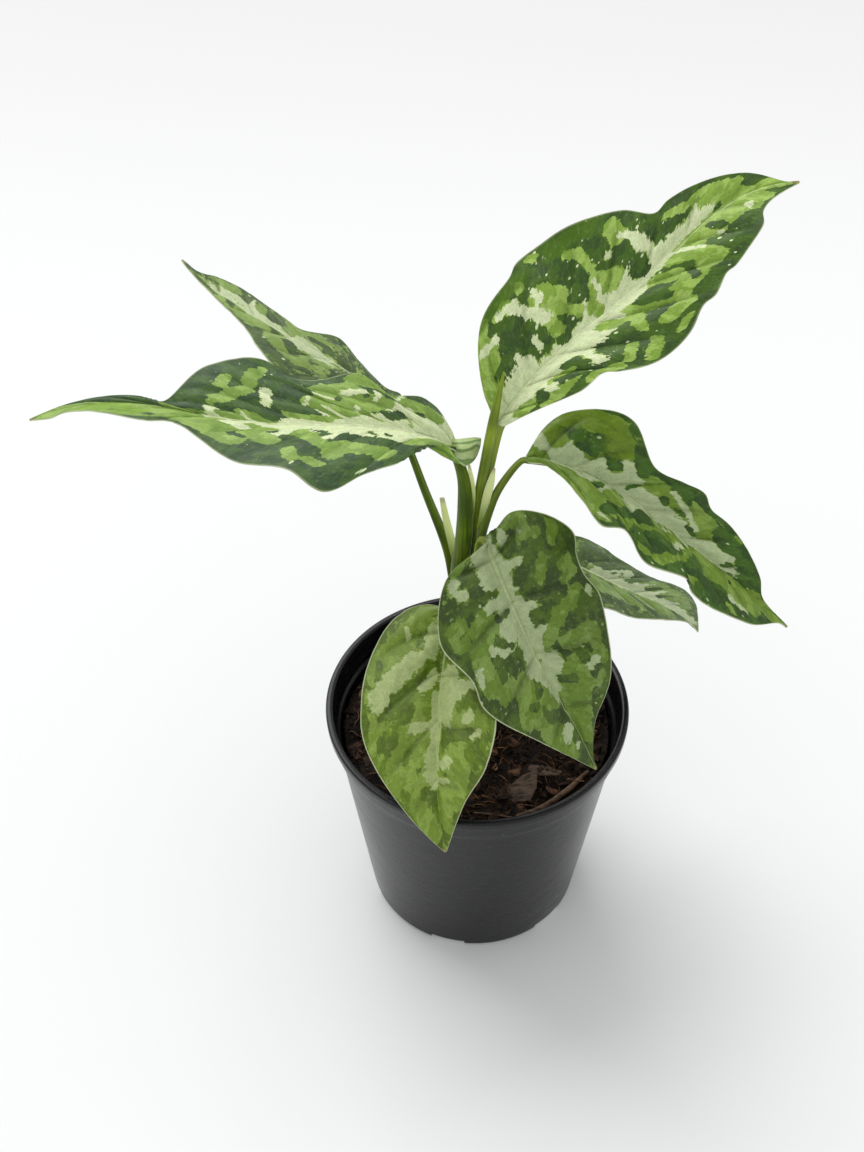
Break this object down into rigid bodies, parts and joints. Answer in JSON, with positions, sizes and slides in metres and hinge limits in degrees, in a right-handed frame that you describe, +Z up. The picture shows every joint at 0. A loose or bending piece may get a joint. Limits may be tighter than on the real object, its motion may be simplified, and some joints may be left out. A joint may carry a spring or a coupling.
{
  "type": "potted chinese evergreen",
  "caption": "Young variegated chinese evergreen: wavy camouflage-patterned leaves on clasping stalks round a short stem, rooted in peat in a tapered black nursery pot.",
  "frame": {"origin": "centre of the pot's flat standing face", "axes": "+Z up; -Y towards the viewer's side, where the front leaf hangs over the rim; +X to the viewer's right, under the tall leaf"},
  "size_m": [0.2666, 0.1685, 0.3102],
  "materials": {
    "pot": "black moulded plastic, satin, with fine turning marks",
    "soil": "dark brown peat with fibres, crumbly and damp",
    "roots": "pale fleshy root skin",
    "stalk": "smooth green stem and stalk skin, satin",
    "leaf": "variegated leaf, waxy satin, three greens in blotches",
    "young_leaf": "rolled young leaf, olive green, satin",
    "sheath": "thin pale yellow-green sheath margin",
    "bark": "rough brown bark",
    "twig": "dry brown fibre"
  },
  "bodies": {
    "root": {"pot": "pot", "soil": "soil", "roots": "roots", "stem": "stalk", "leaf_upright": "leaf", "leaf_left": "leaf", "leaf_rear_left": "leaf", "leaf_right": "leaf", "leaf_rear_right": "leaf", "leaf_front": "leaf", "leaf_front_left": "leaf", "new_leaf": "young_leaf", "sheath_wing_left": "sheath", "sheath_wing_right": "sheath", "sheath_wing_crown": "sheath", "bark_flake_front": "bark", "bark_flake_right": "bark", "bark_flake_side": "bark", "bark_flake_left": "bark", "bark_flake_rear": "bark", "bark_flake_rear_right": "bark", "twig_long": "twig", "twig_thin": "twig", "twig_rear": "twig"}
  },
  "joints": []
}
